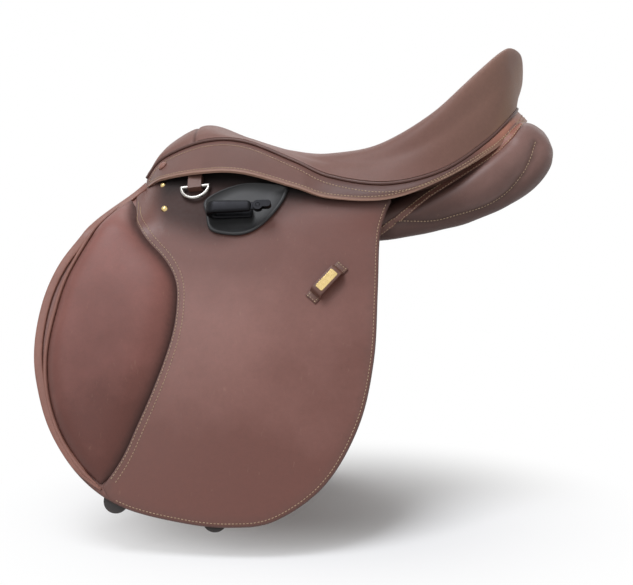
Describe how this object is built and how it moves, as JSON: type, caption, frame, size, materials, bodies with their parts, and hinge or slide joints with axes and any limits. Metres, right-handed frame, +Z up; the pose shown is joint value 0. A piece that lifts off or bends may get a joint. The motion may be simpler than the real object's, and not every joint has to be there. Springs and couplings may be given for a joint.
{
  "type": "jumping saddle",
  "caption": "English jumping saddle with a padded deep seat, forward-cut flaps with knee pads, open skirts over stirrup bars and stuffed panels.",
  "frame": {"origin": "on the centre line, at the height where the panels bear on a back or a rack", "axes": "+X runs back to the cantle, +Y to the off (right) side, +Z up"},
  "size_m": [0.5523, 0.4404, 0.5098],
  "materials": {
    "seat_leather": "soft grained leather with a low sheen",
    "skirt_leather": "smooth bridle leather with a pale cut edge",
    "flap_leather": "smooth bridle leather, redder towards its edges",
    "pad_leather": "soft padded leather",
    "panel_leather": "soft panel leather",
    "under_leather": "plain under leather",
    "trim_leather": "rolled leather piping and small straps",
    "keeper_leather": "waxed strap leather",
    "black_leather": "black strap leather",
    "black_plastic": "moulded",
    "chrome": "polished",
    "steel": "plain",
    "brass": "polished",
    "laminated_wood": "laminated beech",
    "webbing": "woven webbing",
    "foam": "cut foam"
  },
  "bodies": {
    "saddle": {"tree": "laminated_wood", "gullet_plate": "steel", "gullet_rivets": "steel", "gullet_lining": "under_leather", "pommel_facing": "under_leather", "rail_spring_left": "steel", "rail_spring_right": "steel", "seat_webs": "webbing", "seat_foam": "foam", "seat_cover": "seat_leather", "seat_welt": "trim_leather", "skirt_left": "skirt_leather", "skirt_right": "skirt_leather", "skirt_buttons": "skirt_leather", "panel_left": "panel_leather", "panel_right": "panel_leather", "panel_welt_left": "trim_leather", "panel_welt_right": "trim_leather", "sweat_flap_left": "under_leather", "sweat_flap_right": "under_leather", "girth_webs_left": "webbing", "girth_webs_right": "webbing", "billet_rivets": "steel", "flap_head_left": "flap_leather", "flap_head_right": "flap_leather", "flap_studs": "brass", "bar_tray_left": "black_plastic", "bar_tray_right": "black_plastic", "stirrup_bar_left": "chrome", "stirrup_bar_right": "chrome", "catch_pin_left": "chrome", "catch_pin_right": "chrome", "dee_chape_left": "trim_leather", "dee_chape_right": "trim_leather"},
    "flap_left": {"flap_left": "flap_leather", "flap_facing_left": "flap_leather", "knee_pad_left": "pad_leather", "knee_piping_left": "trim_leather", "keeper_left": "keeper_leather", "keeper_plate_left": "brass"},
    "catch_left": {"bar_catch_left": "chrome"},
    "dee_left": {"dee_ring_left": "chrome"},
    "front_billet_left": {"front_billet_left": "black_leather"},
    "rear_billet_left": {"rear_billet_left": "black_leather"},
    "flap_right": {"flap_right": "flap_leather", "flap_facing_right": "flap_leather", "knee_pad_right": "pad_leather", "knee_piping_right": "trim_leather", "keeper_right": "keeper_leather", "keeper_plate_right": "brass"},
    "catch_right": {"bar_catch_right": "chrome"},
    "dee_right": {"dee_ring_right": "chrome"},
    "front_billet_right": {"front_billet_right": "black_leather"},
    "rear_billet_right": {"rear_billet_right": "black_leather"}
  },
  "joints": [
    {"name": "flap_lift_left", "type": "hinge", "parent": "saddle", "child": "flap_left", "pos_m": [-0.00025, -0.13075, -0.01646], "axis": [-0.9986, 0.0523, 0], "range_deg": [0, 75]},
    {"name": "catch_turn_left", "type": "hinge", "parent": "saddle", "child": "catch_left", "pos_m": [-0.06153, -0.1368, 0.01633], "axis": [-0.0598, -0.9175, 0.3933], "range_deg": [0, 80]},
    {"name": "dee_swing_left", "type": "hinge", "parent": "saddle", "child": "dee_left", "pos_m": [-0.13158, -0.10015, 0.03838], "axis": [-0.9861, 0.1361, -0.0955], "range_deg": [0, 70]},
    {"name": "front_billet_swing_left", "type": "hinge", "parent": "saddle", "child": "front_billet_left", "pos_m": [-0.17572, -0.11608, -0.02664], "axis": [0.0498, 0.9498, -0.309], "range_deg": [-4, 4]},
    {"name": "rear_billet_swing_left", "type": "hinge", "parent": "saddle", "child": "rear_billet_left", "pos_m": [-0.07386, -0.12141, -0.02664], "axis": [0.0498, 0.9498, -0.309], "range_deg": [-4, 4]},
    {"name": "flap_lift_right", "type": "hinge", "parent": "saddle", "child": "flap_right", "pos_m": [-0.00025, 0.13075, -0.01646], "axis": [0.9986, 0.0523, 0], "range_deg": [0, 75]},
    {"name": "catch_turn_right", "type": "hinge", "parent": "saddle", "child": "catch_right", "pos_m": [-0.06153, 0.1368, 0.01633], "axis": [0.0598, -0.9175, -0.3933], "range_deg": [0, 80]},
    {"name": "dee_swing_right", "type": "hinge", "parent": "saddle", "child": "dee_right", "pos_m": [-0.13158, 0.10015, 0.03838], "axis": [0.9861, 0.1361, 0.0955], "range_deg": [0, 70]},
    {"name": "front_billet_swing_right", "type": "hinge", "parent": "saddle", "child": "front_billet_right", "pos_m": [-0.17572, 0.11608, -0.02664], "axis": [-0.0498, 0.9498, 0.309], "range_deg": [-4, 4]},
    {"name": "rear_billet_swing_right", "type": "hinge", "parent": "saddle", "child": "rear_billet_right", "pos_m": [-0.07386, 0.12141, -0.02664], "axis": [-0.0498, 0.9498, 0.309], "range_deg": [-4, 4]}
  ]
}
